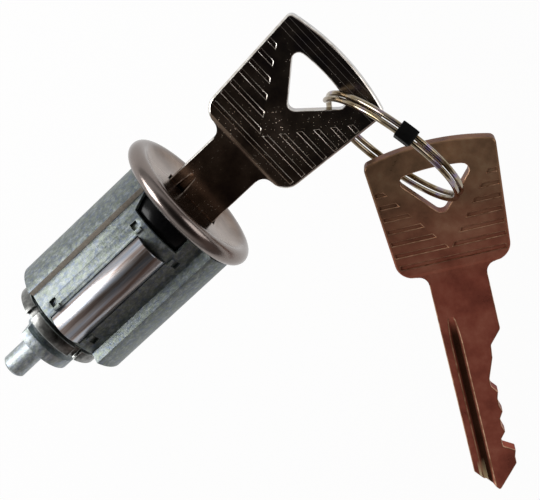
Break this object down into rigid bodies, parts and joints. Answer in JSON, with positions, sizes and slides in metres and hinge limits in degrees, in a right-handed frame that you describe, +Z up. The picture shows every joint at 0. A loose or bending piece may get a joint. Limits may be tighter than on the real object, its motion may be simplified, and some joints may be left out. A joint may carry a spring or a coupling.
{
  "type": "ignition lock cylinder",
  "caption": "Car ignition lock cylinder with a turning plug, round cap and rear drive pin, a key in it, and a split ring that carries a spare key",
  "frame": {"origin": "On the lock's axis, in the plane of the cap's back face, where the housing's barrel starts.", "axes": "+X runs along the lock's axis out of the key hole, towards the key's bow. +Z points up from the key's flat faces and from the housing's sunk panel. -Y is the side of the key's cuts."},
  "size_m": [0.0723, 0.075, 0.0227],
  "materials": {
    "polished_steel": "polished",
    "cast_zinc": "die-cast, lightly tumbled",
    "zinc_plate": "zinc plated",
    "black_plastic": "glossy black",
    "brass": "turned",
    "spring_steel": "drawn wire",
    "nickel_brass": "nickel plated, blanked and milled",
    "tarnished_nickel": "nickel plated, worn through to the brass",
    "nickel_steel": "nickel plated"
  },
  "bodies": {
    "lock_body": {"housing": "cast_zinc", "front_bush": "black_plastic", "pin_cover": "polished_steel", "driver_pin_1": "brass", "driver_pin_2": "brass", "driver_pin_3": "brass", "driver_pin_4": "brass", "driver_pin_5": "brass", "pin_spring_1": "spring_steel", "pin_spring_2": "spring_steel", "pin_spring_3": "spring_steel", "pin_spring_4": "spring_steel", "pin_spring_5": "spring_steel"},
    "lock_plug": {"plug": "cast_zinc", "cap": "polished_steel", "retaining_ring": "zinc_plate", "key": "nickel_brass", "key_pin_1": "brass", "key_pin_2": "brass", "key_pin_3": "brass", "key_pin_4": "brass", "key_pin_5": "brass"},
    "key_ring": {"split_ring": "nickel_steel", "ring_sleeve": "black_plastic"},
    "spare": {"spare_key": "tarnished_nickel"}
  },
  "joints": [
    {"name": "plug_turn", "type": "hinge", "parent": "lock_body", "child": "lock_plug", "pos_m": [0, 0, 0], "axis": [1, 0, 0], "range_deg": [-160, 0]},
    {"name": "ring_swing", "type": "hinge", "parent": "lock_plug", "child": "key_ring", "pos_m": [0.02595, -0.0064, 0], "axis": [0.9252, 0.1424, -0.3518], "range_deg": [-80, 70]},
    {"name": "spare_swing", "type": "hinge", "parent": "key_ring", "child": "spare", "pos_m": [0.02647, -0.02298, -0.00533], "axis": [0.3763, -0.4662, 0.8007], "range_deg": [-45, 60]}
  ]
}
